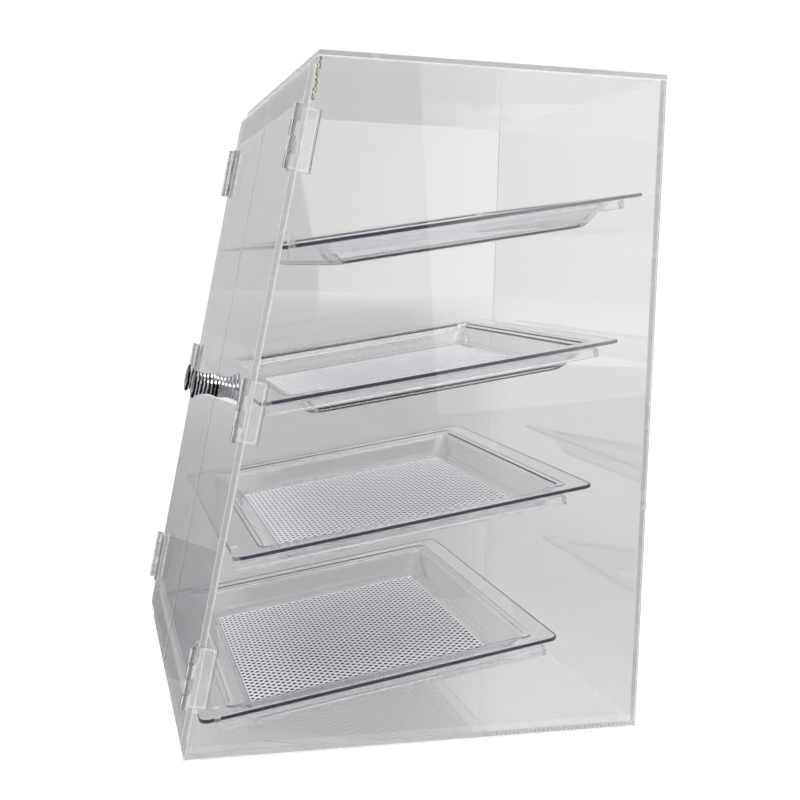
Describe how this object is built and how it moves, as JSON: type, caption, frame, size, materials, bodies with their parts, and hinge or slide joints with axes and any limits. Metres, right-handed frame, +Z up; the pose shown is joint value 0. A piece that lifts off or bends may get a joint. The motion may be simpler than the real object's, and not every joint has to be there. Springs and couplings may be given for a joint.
{
  "type": "countertop bread display bin",
  "caption": "Clear countertop bread display case with a sloped front, two hinged doors with metal knobs, and slanted removable trays on side runners.",
  "frame": {"origin": "centre of the case's base on the table, between the side panels and midway from the front bottom edge to the back", "axes": "+X to the right seen from the front, +Y to the back, +Z up; the sloped front faces -Y"},
  "size_m": [0.4614, 0.4314, 0.61],
  "materials": {
    "clear_sheet": "clear cast acrylic sheet with polished edges",
    "hinge_plastic": "clear moulded plastic",
    "tray_plastic": "clear moulded plastic with a violet tint and a diamond mesh floor",
    "polished_metal": "polished chrome plate",
    "screw_steel": "plain zinc plated steel"
  },
  "bodies": {
    "case": {"base_panel": "clear_sheet", "left_side_panel": "clear_sheet", "right_side_panel": "clear_sheet", "back_panel": "clear_sheet", "top_panel": "clear_sheet", "front_apron": "clear_sheet", "front_header": "clear_sheet", "bottom_left_runner": "clear_sheet", "bottom_right_runner": "clear_sheet", "lower_left_runner": "clear_sheet", "lower_right_runner": "clear_sheet", "upper_left_runner": "clear_sheet", "upper_right_runner": "clear_sheet", "top_left_runner": "clear_sheet", "top_right_runner": "clear_sheet", "left_bottom_hinge_side_leaf": "hinge_plastic", "left_bottom_hinge_pin": "hinge_plastic", "left_middle_hinge_side_leaf": "hinge_plastic", "left_middle_hinge_pin": "hinge_plastic", "left_top_hinge_side_leaf": "hinge_plastic", "left_top_hinge_pin": "hinge_plastic", "right_bottom_hinge_side_leaf": "hinge_plastic", "right_bottom_hinge_pin": "hinge_plastic", "right_middle_hinge_side_leaf": "hinge_plastic", "right_middle_hinge_pin": "hinge_plastic", "right_top_hinge_side_leaf": "hinge_plastic", "right_top_hinge_pin": "hinge_plastic"},
    "left_door": {"left_door_panel": "clear_sheet", "left_door_knob": "polished_metal", "left_knob_screw": "screw_steel", "left_bottom_hinge_door_leaf": "hinge_plastic", "left_middle_hinge_door_leaf": "hinge_plastic", "left_top_hinge_door_leaf": "hinge_plastic"},
    "right_door": {"right_door_panel": "clear_sheet", "right_door_knob": "polished_metal", "right_knob_screw": "screw_steel", "right_bottom_hinge_door_leaf": "hinge_plastic", "right_middle_hinge_door_leaf": "hinge_plastic", "right_top_hinge_door_leaf": "hinge_plastic"},
    "bottom_tray_body": {"bottom_tray": "tray_plastic"},
    "lower_tray_body": {"lower_tray": "tray_plastic"},
    "upper_tray_body": {"upper_tray": "tray_plastic"},
    "top_tray_body": {"top_tray": "tray_plastic"}
  },
  "joints": [
    {"name": "right_door_swing", "type": "hinge", "parent": "case", "child": "right_door", "pos_m": [0.2275, -0.16925, 0.30673], "axis": [0, 0.1743, 0.9847], "range_deg": [0, 200]},
    {"name": "left_door_swing", "type": "hinge", "parent": "case", "child": "left_door", "pos_m": [-0.2275, -0.16925, 0.30673], "axis": [0, -0.1743, -0.9847], "range_deg": [0, 200]},
    {"name": "bottom_tray_slide", "type": "slide", "parent": "case", "child": "bottom_tray_body", "axis": [0, 0.9848, 0.1736], "range_m": [-0.0036, 0.07]},
    {"name": "lower_tray_slide", "type": "slide", "parent": "case", "child": "lower_tray_body", "axis": [0, 0.9848, 0.1736], "range_m": [-0.012, 0.042]},
    {"name": "upper_tray_slide", "type": "slide", "parent": "case", "child": "upper_tray_body", "axis": [0, 0.9848, 0.1736], "range_m": [-0.006, 0.022]},
    {"name": "top_tray_slide", "type": "slide", "parent": "case", "child": "top_tray_body", "axis": [0, 0.9848, 0.1736], "range_m": [-0.0025, 0.0045]}
  ]
}
